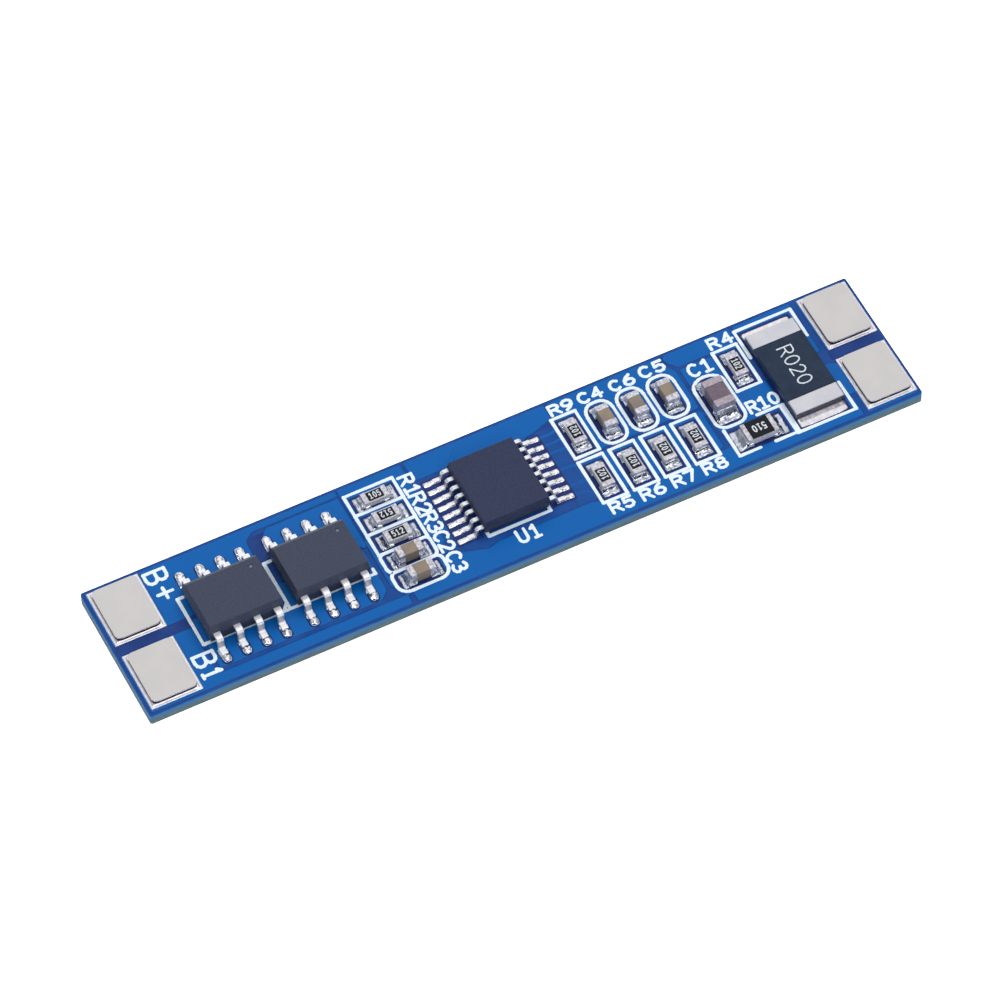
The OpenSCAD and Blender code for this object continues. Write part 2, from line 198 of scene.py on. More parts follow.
mask = finish("solder_mask", paint(18, 64, 134), paint(26, 73, 144), grain=1.6, roughness=0.42,
              specular=0.18, dent=0.004, dent_grain=0.25)
band_by_height(mask, paint(2, 92, 168), MASK_Z + 0.003, COPPER_Z - 0.001)
channel_mask = finish("mask_in_channels", paint(22, 54, 118), paint(30, 62, 128), grain=1.2,
                      roughness=0.42, specular=0.18)
# The dark mask round the pads: partly bare laminate, partly painted shade.
gap_and_shade_mask = finish("mask_clear_of_pads_and_painted_shade", paint(20, 38, 96), paint(30, 52, 112), grain=0.4,
                    roughness=0.4, specular=0.2)

SHEET_INSET = 0.02
sheet = bmesh.new()
upper_face = box_outline(strip_low.x + SHEET_INSET, strip_low.y + SHEET_INSET,
                         strip_high.x - SHEET_INSET, strip_high.y - SHEET_INSET)
plate(sheet, upper_face, face_z, MASK_Z, corner=0.13)
place_piece("mask_upper_face", sheet, mask)

west, east = strip_low.x + EDGE_GAP, strip_high.x - EDGE_GAP
south, north = strip_low.y + EDGE_GAP, strip_high.y - EDGE_GAP
# The widest gaps in the copper are darkest: between the tabs of each end, and between the upper leads of
# the two transistors.
CHANNELS = [(west, -0.3, -19.9, 0.42), (21.4, -0.3, east, 0.42), (-14.9, 1.6, -13.6, 3.9)]
channels = bmesh.new()
for x0, y0, x1, y1 in CHANNELS:
    plate(channels, box_outline(x0, y0, x1, y1), SUNK_Z, MASK_Z + 0.003, corner=0.1)
place_piece("mask_in_wide_gaps", channels, channel_mask)

POURS = [
    # the B+ pour, which runs on above the second transistor as a narrow band
    [(west, 0.42), (-14.9, 0.42), (-14.9, 3.7), (-14.3, 4.16), (-8.76, 4.16), (-8.76, north), (west, north)],
    # the B1 pour, which runs on below both transistors to the divider column
    [(west, south), (-8.2, south), (-8.2, -3.86), (-20.25, -3.86), (-20.25, -0.26), (west, -0.26)],
    # under the transistors
    [(-20.05, -3.64), (-9.7, -3.64), (-9.12, -3.1), (-9.12, 0.1), (-14.2, 0.1), (-14.2, 0.24),
     (-20.05, 0.24)],
    [(-14.0, 0.3), (-8.8, 0.3), (-8.8, 4.12), (-13.5, 4.12), (-14.0, 3.6)],
    # the divider column's planes
    [(-8.74, 0.7), (-5.0, 0.7), (-5.0, 2.0), (-4.55, 2.5), (-4.55, north), (-8.74, north)],
    [(-8.5, -2.1), (-5.4, -2.1), (-4.6, -1.5), (-4.6, 0.6), (-8.5, 0.6)],
    # above the controller, up to the filter bank
    [(-4.42, 3.1), (-2.4, 3.1), (-1.2, 3.0), (3.3, 3.0), (4.82, 3.5), (4.82, north), (-4.42, north)],
    # below the controller, along the whole front edge
    [(-7.9, south), (21.25, south), (21.25, -3.1), (4.6, -3.1), (4.2, -2.9), (-1.9, -2.9), (-2.6, -3.1),
     (-4.6, -2.5), (-5.3, -2.3), (-8.0, -3.4)],
    # the filter bank's planes
    [(4.95, 0.2), (12.9, 0.2), (12.9, 3.3), (12.42, 3.95), (12.42, north), (4.95, north)],
    [(4.95, -3.0), (12.85, -3.0), (12.85, 0.08), (4.95, 0.08)],
    # round the sense parts and the shunt
    [(13.05, -2.0), (17.3, -2.0), (17.3, 0.3), (15.25, 0.3), (15.25, 3.3), (13.05, 3.3)],
    [(15.4, 0.42), (17.1, 0.42), (17.1, north), (12.6, north), (12.6, 4.0), (13.1, 3.42), (15.4, 3.42)],
    [(13.1, -3.0), (17.0, -3.0), (17.0, -2.1), (13.1, -2.1)],
    [(17.25, 0.6), (21.15, 0.6), (21.15, north), (17.25, north)],
    [(17.4, -3.0), (21.6, -3.0), (21.6, -0.55), (21.15, -0.3), (17.4, -0.3)],
    # the output pads
    [(21.45, 0.42), (east, 0.42), (east, north), (21.45, north)],
    [(21.45, south), (east, south), (east, -0.26), (21.75, -0.26), (21.45, -0.5)],
]
RISE = 0.09  # width over which the mask climbs onto the copper
POUR_CORNER = 0.16
copper = bmesh.new()
# beside the controller the tracks run so close that the mask bridges the gaps between them
for outline in (box_outline(3.3, -2.95, 4.92, 3.1), box_outline(-5.3, -2.4, -3.9, 2.95)):
    plate(copper, outline, SUNK_Z, MASK_Z + 0.004, corner=POUR_CORNER, slope=RISE)
for outline in POURS:
    plate(copper, outline, SUNK_Z, COPPER_Z, corner=POUR_CORNER, slope=RISE)


# Round-ended bars: tracks under the mask here, and the printed marks and letters further down.
def bar(bm, start, end, width, low, high, slope):
    """One straight bar with round ends, narrower at its upper face by a slope on each side."""
    run = Vector(end) - Vector(start)
    ends = bmesh.ops.create_cone(bm, cap_ends=True, segments=10, radius1=width / 2,
                                 radius2=width / 2 - slope, depth=high - low)["verts"]
    bmesh.ops.translate(bm, vec=(run.length, 0, 0), verts=[v for v in ends if v.co.x > 0])
    turn = Matrix.Rotation(math.atan2(run.y, run.x), 3, "Z")
    bmesh.ops.rotate(bm, cent=(0, 0, 0), matrix=turn, verts=ends)
    bmesh.ops.translate(bm, vec=(start[0], start[1], (low + high) / 2), verts=ends)


HAIR, HAIR_STEPS = 0.0004, 17  # the step from bar to bar, and how many steps before it starts again


def draw(bm, lines, width, low, high, slope=0.01):
    """Bars along each line of points, each a hair higher than the last so that their tops don't clash."""
    count = 0
    for line in lines:
        for start, end in zip(line, line[1:]):
            bar(bm, start, end, width, low, high + HAIR * (count % HAIR_STEPS), slope)
            count += 1


controller_low, controller_high, controller_middle = box_of("controller_leads")
CONTROLLER_PITCH = 0.65
lead_rows = [controller_middle.y + CONTROLLER_PITCH * (row - 3.5) for row in range(8)]
# tracks fan out from the controller's leads to the filter bank and to the divider column
TRACKS = [[(controller_high.x + 0.4, lead_rows[row]), (4.0 + 0.04 * row, lead_rows[row]), (5.0, reach)]
          for row, reach in ((0, -2.6), (1, -1.4), (3, -0.3), (5, 1.2), (6, 2.1), (7, 2.8))]
TRACKS += [[(controller_low.x - 0.4, lead_rows[row]), (-4.4, lead_rows[row]), (-5.2, reach)]
           for row, reach in ((0, -2.2), (2, -0.9), (4, 0.6), (5, 1.2), (6, 1.9))]
# two short links between pours, and a track up the left of the divider column
TRACKS += [[(2.4, 2.85), (3.4, 3.3)], [(12.8, -0.2), (13.2, -0.6)]]
TRACKS += [[(-8.2, -3.9), (-8.75, -2.9), (-8.75, 0.5)]]
draw(copper, TRACKS, 0.34, SUNK_Z, COPPER_Z - 0.0055, RISE)
# one thicker track runs from the controller's corner up over the pour
draw(copper, [[(-1.95, 3.3), (-1.0, 4.3)]], 0.36, MASK_Z, COPPER_Z + 0.012, RISE)
# plated holes, which the mask covers with a low round bump each
COVERED_HOLES = [(-9.02, 0.95), (-9.02, 0.32), (-8.98, 2.3), (-4.75, -3.4), (21.3, -0.9), (12.7, 4.3),
                 (3.9, -3.6)]
for x, y in COVERED_HOLES:
    draw(copper, [[(x, y), (x + 0.02, y)]], 0.4, MASK_Z, COPPER_Z + 0.005, RISE)
place_piece("mask_over_copper", copper, mask, smooth=True)

# Round the pads the copper stops short, so a dark line of bare laminate shows through the mask. The dark mask
# here is also painted shade, round the pads and under the leads.
RESISTORS = ["r%d" % number for number in range(1, 11)]
CAPACITORS = ["c%d" % number for number in range(1, 7)]
LARGE = ("r10", "c1", "shunt")


def land_of(part):
    """How far a chip's solder runs out beyond its ends and beyond its sides."""
    return (0.7 if part in LARGE else 0.5), (0.0 if part == "shunt" else 0.16)


TRANSISTOR_PITCH = 1.27


def lead_places(part):
    """Where the four leads along each side of a transistor stand on X."""
    middle = box_of(part + "_leads")[2]
    return [middle.x + (lead - 1.5) * TRANSISTOR_PITCH for lead in range(4)]


MOAT = 0.12  # width of the dark line round a chip's solder
gaps_and_shade = bmesh.new()
for part in RESISTORS + CAPACITORS + ["shunt"]:
    low, high, _ = box_of(part + "_caps")
    land, side_land = land_of(part)
    run, across = land + MOAT, side_land + MOAT
    if high.x - low.x < high.y - low.y:
        run, across = across, run
    plate(gaps_and_shade, box_outline(low.x - run, low.y - across, high.x + run, high.y + across),
          MASK_Z, CLEARANCE_Z, corner=0.1)
# one dark field under each row of the controller's leads, from inside its toes to beyond them: bare laminate
# between the pads, and painted shade under and between the leads
FIELD_INSIDE, FIELD_BEYOND, FIELD_MARGIN = 0.9, 0.7, 0.3
field_low, field_high = lead_rows[0] - FIELD_MARGIN, lead_rows[7] + FIELD_MARGIN
for edge_x, side in ((controller_low.x, -1), (controller_high.x, 1)):
    inner, outer = sorted((edge_x - side * FIELD_INSIDE, edge_x + side * FIELD_BEYOND))
    plate(gaps_and_shade, box_outline(inner, field_low, outer, field_high), MASK_Z, CLEARANCE_Z)
# and a round-ended one for each lead of the transistors
PAD_INSIDE, PAD_BEYOND, PAD_HALF_WIDTH = 0.6, 0.57, 0.34
for part in ("mosfet_1", "mosfet_2"):
    low, high, _ = box_of(part + "_leads")
    spans = ((high.y - PAD_INSIDE, high.y + PAD_BEYOND), (low.y - PAD_BEYOND, low.y + PAD_INSIDE))
    for x in lead_places(part):
        for inner, outer in spans:
            plate(gaps_and_shade, box_outline(x - PAD_HALF_WIDTH, inner, x + PAD_HALF_WIDTH, outer),
                  MASK_Z, CLEARANCE_Z, corner=0.3)
place_piece("mask_round_pads", gaps_and_shade, gap_and_shade_mask)

# ---------------------------------------------------------------- welding tabs
# Four pads of nickel strip, 0.3 mm thick, punched with round corners. Cells and leads are spot-welded
# to them. The rolled face is even and satin. A painted highlight runs along the upper edge, and the
# rough punched side below it is painted near black as painted shade and dark reflection.
TABS = ("tab_b_plus", "tab_b1", "tab_p_plus", "tab_p_minus")
tab_top = box_of("tab_b1")[1].z
nickel = finish("rolled_nickel_painted_edge_light", paint(208, 205, 205), paint(212, 209, 208), grain=1.5, roughness=0.34,
                metallic=1.0, dent=0.0004, dent_grain=0.08)
band_by_height(nickel, paint(255, 254, 252), tab_top - 0.012, tab_top - 0.03)  # painted highlight along the upper edge
band_by_height(nickel, paint(26, 22, 24), tab_top - 0.085, tab_top - 0.1)  # painted shade and dark reflection over the rough sheared side
for tab in TABS:
    soften(nodes[tab], nickel, 0.09, 4)

# ---------------------------------------------------------------- solder under the tabs
# Each tab is reflowed onto a tinned pad. The solder wets the pad for a fifth of a millimetre all round
# and sets as a thin bright border with slightly raised edges.
bed_solder = finish("bed_solder", paint(226, 222, 232), paint(244, 242, 248), grain=0.3, roughness=0.3,
                    metallic=0.8, dent=0.002, dent_grain=0.2, wear=0.06)
SOLDER_RIM = 0.02  # height of any pool of solder at its outer edge


def ripple(x, y, grain):
    """Uneven height of set solder, from -1 to 1, fixed to the strip."""
    return noise.noise(Vector((x / grain, y / grain, 3.7)))


def pool(bm, middle, turn, start, length, width, height_at, columns, rows, toe=0.0):
    """Set solder on a pad. Its height is asked for along and across the pad; toe rounds the far end."""
    grid = bmesh.ops.create_grid(bm, x_segments=columns, y_segments=rows, size=0.5)["verts"]
    spin = Matrix.Rotation(math.radians(turn), 3, "Z")
    own = set(grid)
    rim = [e for e in bm.edges if e.is_boundary and e.verts[0] in own]
    rim_points = {v for e in rim for v in e.verts}
    for v in grid:
        along = v.co.x + 0.5
        half = width / 2
        if toe and along > 1 - toe:
            half *= math.sqrt(max(0.06, 1 - ((along - 1 + toe) / toe) ** 2))
        u, w = start + along * length, 2 * v.co.y * half
        spot = spin @ Vector((u, w, 0)) + Vector((middle[0], middle[1], 0))
        lift = SOLDER_RIM if v in rim_points else height_at(u, w, spot.x, spot.y)
        v.co = (spot.x, spot.y, face_z + lift)
    bmesh.ops.edgeloop_fill(bm, edges=rim)


BED_BORDER = 0.22  # width of solder left in view round a tab
beds = bmesh.new()
for tab in TABS:
    low, high, middle = box_of(tab)
    size = high - low

    def bed_height(u, w, x, y):
        """Flat, but drawn up against the tab and banked along the pad's edge."""
        gap = min(size.x / 2 + BED_BORDER - abs(x - middle.x), size.y / 2 + BED_BORDER - abs(y - middle.y))
        climb = 0.06 * math.exp(-max(BED_BORDER - gap, 0) / 0.04)
        bank = 0.015 * math.exp(-((gap - 0.07) / 0.05) ** 2)
        return 0.05 + climb + bank + 0.008 * ripple(x, y, 0.4)

    pool(beds, middle, 0, -size.x / 2 - BED_BORDER, size.x + 2 * BED_BORDER, size.y + 2 * BED_BORDER,
         bed_height, columns=76, rows=92)
place_piece("tab_solder_beds", beds, bed_solder, smooth=True, replaces=["terminal_solder"])

# ---------------------------------------------------------------- power transistors and controller
# Epoxy cases moulded round a copper lead frame, with sides that slope to the parting line and tinned
# leads bent down to the pads. The maker's print is left off and the first lead's dimple kept.
case_epoxy = finish("transistor_epoxy", paint(52, 59, 78), paint(60, 67, 86), grain=0.12, roughness=0.52,
                    specular=0.35, dent=0.003, dent_grain=0.045)
controller_epoxy = finish("controller_epoxy", paint(38, 46, 74), paint(46, 54, 82), grain=0.12,
                          roughness=0.55, specular=0.3, dent=0.002, dent_grain=0.045)
tin = finish("tinned_lead", paint(226, 226, 232), paint(246, 246, 250), grain=0.15, roughness=0.3,
             metallic=0.8, dent=0.003, dent_grain=0.06, wear=0.08)
transistor_tin = finish("tinned_transistor_lead_painted_shade", paint(238, 238, 244), paint(252, 252, 255), grain=0.15,
                        roughness=0.36, metallic=0.6, dent=0.003, dent_grain=0.06, wear=0.08)
shoulder_z = box_of("mosfet_1_leads")[1].z
band_by_height(transistor_tin, paint(176, 178, 186), shoulder_z - 0.16, shoulder_z - 0.3)  # painted shade down the upright run
band_by_height(transistor_tin, paint(250, 250, 254), face_z + 0.36, face_z + 0.28)  # the feet painted bright again below the painted shade
for part, epoxy, plating, lead_edge in (("mosfet_1", case_epoxy, transistor_tin, 0.04),
                                        ("mosfet_2", case_epoxy, transistor_tin, 0.04),
                                        ("controller", controller_epoxy, tin, 0.025)):
    soften(nodes[part + "_case"], epoxy, 0.045)
    soften(nodes[part + "_leads"], plating, lead_edge)

# The first lead's dimple has a polished floor, left by the mould's pin. Its light grey is a painted
# reflection, drawn as a thin disc of paler epoxy.
DIMPLE_FROM_END, DIMPLE_FROM_SIDE, DIMPLE_DEPTH, DIMPLE_FLOOR = 0.7, 0.9, 0.05, 0.2
dimple_painted_reflection = finish("dimple_painted_reflection", paint(104, 112, 126), paint(116, 124, 138), grain=0.1, roughness=0.3)
dimples = bmesh.new()
for part in ("mosfet_1_case", "mosfet_2_case"):
    high = box_of(part)[1]
    x, y, floor = high.x - DIMPLE_FROM_END, high.y - DIMPLE_FROM_SIDE, high.z - DIMPLE_DEPTH
    draw(dimples, [[(x, y), (x + 0.01, y)]], DIMPLE_FLOOR, floor, floor + 0.02)
place_piece("dimple_floors", dimples, dimple_painted_reflection)

# Solder joins each foot to its pad. On the transistors it gathers in a round bead at the toe; on the
# controller it lies along the pad in a long low ridge.
solder = finish("bright_solder", paint(236, 236, 243), paint(252, 252, 254), grain=0.2, roughness=0.1,
                metallic=1.0, dent=0.03, dent_grain=0.2, wear=0.04)
joints = bmesh.new()


def bead_height(toe_at):
    """A dome just beyond the toe, and a smaller heap behind the heel."""
    def height_at(u, w, x, y):
        off = ((u - toe_at - 0.16) / 0.4) ** 2 + (w / 0.31) ** 2
        dome = 0.21 * math.sqrt(max(0.0, 1 - off))
        heel = 0.2 * math.exp(-((u - toe_at + 0.42) / 0.13) ** 2 - (w / 0.2) ** 2)
        return 0.05 + dome + heel + 0.035 * ripple(x, y, 0.13)
    return height_at


def ridge_height(toe_at, half):
    """A ridge along the pad that sinks away beyond the toe."""
    def height_at(u, w, x, y):
        gap = max(u - toe_at, 0)
        crown = max(0.0, 1 - (w / half) ** 2)
        return 0.04 + crown * (0.04 + 0.1 * math.exp(-gap / 0.2)) + 0.035 * ripple(x, y, 0.13) * crown
    return height_at


# each joint starts a way out from the case, ends a way beyond the toe and is so wide
BEAD_START, BEAD_BEYOND, BEAD_WIDTH = 0.5, 0.55, 0.64
for part in ("mosfet_1", "mosfet_2"):
    case_low, case_high, _ = box_of(part + "_case")
    reach = box_of(part + "_leads")[1].y - case_high.y
    for turn, edge_y in ((90, case_high.y), (-90, case_low.y)):
        for x in lead_places(part):
            pool(joints, (x, edge_y), turn, BEAD_START, reach + BEAD_BEYOND - BEAD_START, BEAD_WIDTH,
                 bead_height(reach), columns=18, rows=12, toe=0.3)
RIDGE_START, RIDGE_BEYOND, RIDGE_WIDTH = 0.42, 0.65, 0.42
case_low, case_high, _ = box_of("controller_case")
reach = controller_high.x - case_high.x
for turn, edge_x in ((0, case_high.x), (180, case_low.x)):
    for y in lead_rows:
        pool(joints, (edge_x, y), turn, RIDGE_START, reach + RIDGE_BEYOND - RIDGE_START, RIDGE_WIDTH,
             ridge_height(reach, RIDGE_WIDTH / 2), columns=18, rows=8, toe=0.06)
place_piece("lead_joints", joints, solder, smooth=True, replaces=["lead_solder"])

# ---------------------------------------------------------------- chip resistors and the shunt
# White alumina tiles with a resistive layer under a dark glass coat, and tinned metal wrapped round
# both ends. The shunt is coated on its sides too; their dark blue is painted shade, tinted like the
# mask beside them. Each carries its value.
alumina = finish("alumina", paint(168, 170, 180), paint(204, 204, 210), grain=0.12, roughness=0.55,
                 dent=0.004, dent_grain=0.05)
dark_glass = finish("dark_glass_coat", paint(16, 18, 24), paint(28, 30, 38), grain=0.1, roughness=0.5,
                    specular=0.18, dent=0.002, dent_grain=0.06)
shunt_glass = finish("shunt_coat", paint(24, 40, 62), paint(31, 47, 69), grain=0.6, roughness=0.45,
                     specular=0.25, dent=0.002, dent_grain=0.09)
chip_end = finish("plated_chip_end", paint(176, 174, 184), paint(232, 230, 238), grain=0.16, roughness=0.3,
                  metallic=1.0, dent=0.012, dent_grain=0.12, wear=0.1)
shunt_end = finish("plated_shunt_end_painted_shade", paint(208, 208, 216), paint(216, 215, 222), grain=0.9, roughness=0.36,
                   metallic=1.0, dent=0.001, dent_grain=0.1)
shunt_top = box_of("shunt_caps")[1].z
band_by_height(shunt_end, paint(122, 126, 140), shunt_top - 0.08, shunt_top - 0.14)  # painted shade down its sides
for part in RESISTORS:
    soften(nodes[part + "_substrate"], alumina, 0.02)
    soften(nodes[part + "_coat"], dark_glass, 0.02)
    soften(nodes[part + "_caps"], chip_end, 0.03)
# The shunt's sides: painted shade in the dark blue of the mask beside them.
shunt_side_painted_shade = finish("shunt_side_painted_shade", paint(26, 48, 88), paint(34, 58, 100), grain=0.4, roughness=0.5,
                    specular=0.3, dent=0.003, dent_grain=0.08)
soften(nodes["shunt_substrate"], shunt_side_painted_shade, 0.02)
soften(nodes["shunt_coat"], shunt_glass, 0.03)
soften(nodes["shunt_caps"], shunt_end, 0.075, 4)

# ---------------------------------------------------------------- chip capacitors
# Bricks of fired ceramic, tan in the small ones and a greyer brown in the large one, with a plated
# cup over each end.
tan_ceramic = finish("tan_ceramic", paint(122, 112, 107), paint(141, 126, 107), grain=0.9, roughness=0.45,
                     dent=0.003, dent_grain=0.05)
brown_ceramic = finish("brown_ceramic", paint(96, 84, 97), paint(109, 96, 108), grain=0.3,
                       roughness=0.45, dent=0.003, dent_grain=0.05)
dull_end = finish("dull_chip_end", paint(166, 156, 168), paint(196, 186, 198), grain=0.2, roughness=0.42,
                  metallic=1.0, dent=0.006, dent_grain=0.1, wear=0.06)
for part in CAPACITORS:
    large = part == "c1"
    soften(nodes[part + "_ceramic"], brown_ceramic if large else tan_ceramic, 0.02)
    soften(nodes[part + "_caps"], dull_end if large else chip_end, 0.05, 3)

# ---------------------------------------------------------------- solder at the chips' ends
# Reflowed paste: it climbs each end face in a hollow slope, runs out to the pad's edges and sets with a
# lumpy, bright skin. On the shunt's larger pads it lies low and smooth.
chip_solder = finish("chip_solder", paint(178, 184, 200), paint(222, 226, 236), grain=0.3, roughness=0.1,
                     metallic=1.0, dent=0.04, dent_grain=0.24, wear=0.04)
smooth_solder_painted_shade = finish("smooth_solder_painted_shade", paint(220, 217, 223), paint(238, 236, 241), grain=0.4, roughness=0.17,
                       metallic=1.0, dent=0.002, dent_grain=0.5, wear=0.04)
band_by_height(smooth_solder_painted_shade, paint(112, 104, 112), face_z + 0.075, face_z + 0.2)  # painted shade, greyer where it climbs towards the cap
fillets, shunt_fillets = bmesh.new(), bmesh.new()
for part in RESISTORS + CAPACITORS + ["shunt"]:
    low, high, middle = box_of(part + "_caps")
    size = high - low
    lengthwise = size.x > size.y
    length, width, tall = (size.x, size.y, size.z) if lengthwise else (size.y, size.x, size.z)
    land, side_land = land_of(part)
    if part == "shunt":
        target, cap, climb, bank_tall, lumps, rows = shunt_fillets, 1.05, tall * 0.3, 0.015, 0.004, 40
    else:
        target, cap, climb, bank_tall, lumps, rows = fillets, 0.3, min(tall * 0.62, 0.6), 0.035, 0.055, 16
    bank_at = land * 0.8
    under = cap + 0.08  # how far the solder runs in beneath the metal end

    def fillet_height(u, w, x, y):
        """Highest at the end face, hollow on the way down, with a bank near the pad's edge."""
        off_end, off_side = max(u, 0), max(abs(w) - width / 2, 0)
        rise = climb * max(0, 1 - off_end / bank_at) ** 2.3 if off_end else climb * 0.55
        rise *= math.exp(-off_side / 0.08)
        bank = bank_tall * math.exp(-((off_end - bank_at) / 0.09) ** 2)
        return 0.05 + rise + bank + lumps * ripple(x, y, 0.16) * min(1, 0.3 + off_end * 3)

    for turn in ((0, 180) if lengthwise else (90, -90)):
        face = middle + Matrix.Rotation(math.radians(turn), 3, "Z") @ Vector((length / 2, 0, 0))
        pool(target, face, turn, -under, under + land, width + 2 * side_land, fillet_height,
             columns=22, rows=rows, toe=0.06)
place_piece("chip_fillets", fillets, chip_solder, smooth=True, replaces=["chip_solder"])
place_piece("shunt_fillets", shunt_fillets, smooth_solder_painted_shade, smooth=True)

# ---------------------------------------------------------------- white print on the mask
# Screen-printed epoxy ink: outlines round the parts, a reference mark beside each and the two
# terminal marks, all drawn with a round pen.
ink = finish("white_ink", paint(224, 238, 249), paint(234, 245, 252), grain=0.12, roughness=0.6,
             dent=0.002, dent_grain=0.06)
INK_Z = COPPER_Z + 0.016
LINE_PEN, LETTER_PEN = 0.24, 0.22


def bow(x, y, across, up, start, end, steps=6):
    """Points on part of an oval, between two angles."""
    angles = [math.radians(start + (end - start) * step / steps) for step in range(steps + 1)]
    return [(x + across * math.cos(a), y + up * math.sin(a)) for a in angles]


# Each letter is drawn in a space this wide and 1 high.
LETTER_WIDTH = 0.66
LETTERS = {
    "+": [[(0.03, 0.5), (0.63, 0.5)], [(0.33, 0.15), (0.33, 0.85)]],
    "0": [bow(0.33, 0.5, 0.31, 0.5, 90, 450, 12)],
    "1": [[(0.1, 0.8), (0.34, 1), (0.34, 0)], [(0.12, 0), (0.56, 0)]],
    "2": [bow(0.33, 0.7, 0.29, 0.3, 165, -25) + [(0.04, 0), (0.64, 0)]],
    "3": [bow(0.3, 0.75, 0.27, 0.25, 145, -90), bow(0.3, 0.26, 0.32, 0.26, 90, -145)],
    "4": [[(0.48, 0), (0.48, 1), (0.02, 0.3), (0.66, 0.3)]],
    "5": [[(0.58, 1), (0.1, 1), (0.06, 0.56)] + bow(0.31, 0.32, 0.31, 0.32, 125, -145)],
    "6": [bow(0.33, 0.31, 0.32, 0.31, 0, 360, 10), [(0.5, 1.02), (0.24, 0.84), (0.06, 0.6), (0.01, 0.31)]],
    "7": [[(0.02, 1), (0.64, 1), (0.24, 0)]],
    "8": [bow(0.33, 0.76, 0.26, 0.24, 0, 360, 10), bow(0.33, 0.27, 0.31, 0.27, 0, 360, 10)],
    "9": [bow(0.33, 0.69, 0.32, 0.31, 0, 360, 10), [(0.16, -0.02), (0.42, 0.16), (0.6, 0.4), (0.65, 0.69)]],
    "B": [[(0, 0), (0, 1), (0.36, 1)] + bow(0.36, 0.76, 0.24, 0.24, 90, -90, 5) + [(0, 0.52)],
          [(0.36, 0.52)] + bow(0.38, 0.26, 0.27, 0.26, 90, -90, 5) + [(0, 0)]],
    "C": [bow(0.36, 0.5, 0.35, 0.5, 48, 312, 9)],
    "R": [[(0, 0), (0, 1), (0.36, 1)] + bow(0.36, 0.75, 0.26, 0.25, 90, -90, 5) + [(0, 0.5)],
          [(0.32, 0.5), (0.64, 0)]],
    "U": [[(0, 1), (0, 0.3)] + bow(0.32, 0.3, 0.32, 0.3, 180, 360) + [(0.64, 1)]],
}


def letters(text, corner, size, advance, turn, widening=1.0):
    """Lines of a word that starts at a corner, runs at an angle and stands size high."""
    spin = Matrix.Rotation(math.radians(turn), 2)
    lines = []
    for place, letter in enumerate(text):
        for line in LETTERS[letter]:
            points = [spin @ Vector((place * advance + x * size * widening, y * size)) for x, y in line]
            lines.append([(corner[0] + p.x, corner[1] + p.y) for p in points])
    return lines


def ring(points):
    return points + points[:1]


def capsule(x0, y0, x1, y1, top, foot):
    """A closed outline with round corners. Top and foot say how far theirs reach along X and along Y."""
    corners = ((x1 - top[0], y1 - top[1], 90, top), (x0 + top[0], y1 - top[1], 180, top),
               (x0 + foot[0], y0 + foot[1], 270, foot), (x1 - foot[0], y0 + foot[1], 360, foot))
    return ring([p for x, y, end, cut in corners for p in bow(x, y, cut[0], cut[1], end - 90, end, 5)])


case = box_of("mosfet_1_case")[2]
second_case = box_of("mosfet_2_case")[2]
# broken frames round the two transistors
print_lines = [
    [(case.x - 2.36, 1.85), (case.x - 2.69, 1.85), (case.x - 2.69, -1.7), (second_case.x + 2.7, -1.75),
     (second_case.x + 2.7, -1.4)],
    [(second_case.x - 2.32, 1.84), (second_case.x - 2.73, 1.84), (second_case.x - 2.73, -1.7)],
    [(second_case.x - 2.73, -1.25), (second_case.x - 3.12, -1.68)],
]
# the divider column: three plain cells and two round-ended ones
column = box_of("r1_caps")[2].x - 0.015
left, right = column - 1.565, column + 1.565
CELL_LINES = (3.97, 2.43, 0.86, -0.72, -2.18, -3.79)
for top, foot in zip(CELL_LINES[:3], CELL_LINES[1:]):
    print_lines.append(ring(box_outline(left, foot, right, top)))
print_lines += [
    capsule(left - 0.03, CELL_LINES[4], right + 0.03, CELL_LINES[3], (0.3, 0.3), (0.35, 0.4)),
    capsule(left - 0.03, CELL_LINES[5], right + 0.1, CELL_LINES[4], (0.35, 0.4), (0.7, 0.65)),
]
# plain cells round the resistors of the filter bank and R4, round-ended ones for the capacitors
for part in ("r9", "r5", "r6", "r7", "r8", "r4"):
    spot = box_of(part + "_caps")[2]
    top, foot = (1.64, 1.52) if part in ("r9", "r4") else (1.69, 1.56)
    print_lines.append(ring(box_outline(spot.x - 0.77, spot.y - foot, spot.x + 0.81, spot.y + top)))
ROUND_END = (0.66, 0.8)
for part in ("c4", "c6", "c5"):
    spot = box_of(part + "_caps")[2]
    print_lines.append(capsule(spot.x - 0.8, spot.y - 1.54, spot.x + 0.88, spot.y + 1.64,
                               ROUND_END, ROUND_END))
spot = box_of("c1_caps")[2]
print_lines.append(capsule(spot.x - 0.92, spot.y - 1.96, spot.x + 1.04, spot.y + 1.96,
                           (0.96, 0.75), (0.68, 0.62)))
# broken frames round R10 and the shunt, which share a double line
spot = box_of("r10_caps")[2]
print_lines += [
    [(spot.x - 1.78, -1.92), (spot.x - 1.78, -3.97), (spot.x - 0.42, -3.97)],
    [(spot.x + 0.5, -1.79), (spot.x + 2.2, -1.79)],
    [(spot.x + 0.6, -3.97), (spot.x + 2.02, -3.97)],
    [(spot.x + 2.02, -1.82), (spot.x + 2.02, -4.03), (spot.x + 5.88, -4.04), (spot.x + 5.88, -1.88)],
    [(spot.x + 2.18, -1.82), (spot.x + 2.18, -4.03)],
]
spot = box_of("shunt_caps")[2]
print_lines += [[(spot.x - 1.8, 2.1), (spot.x - 1.8, 4.23), (spot.x + 1.95, 4.23), (spot.x + 1.95, 2.05)]]
# a bracket along the controller's front edge
print_lines += [[(-2.24, -1.98), (-2.24, -2.38), (1.75, -2.38), (1.75, -1.95)]]
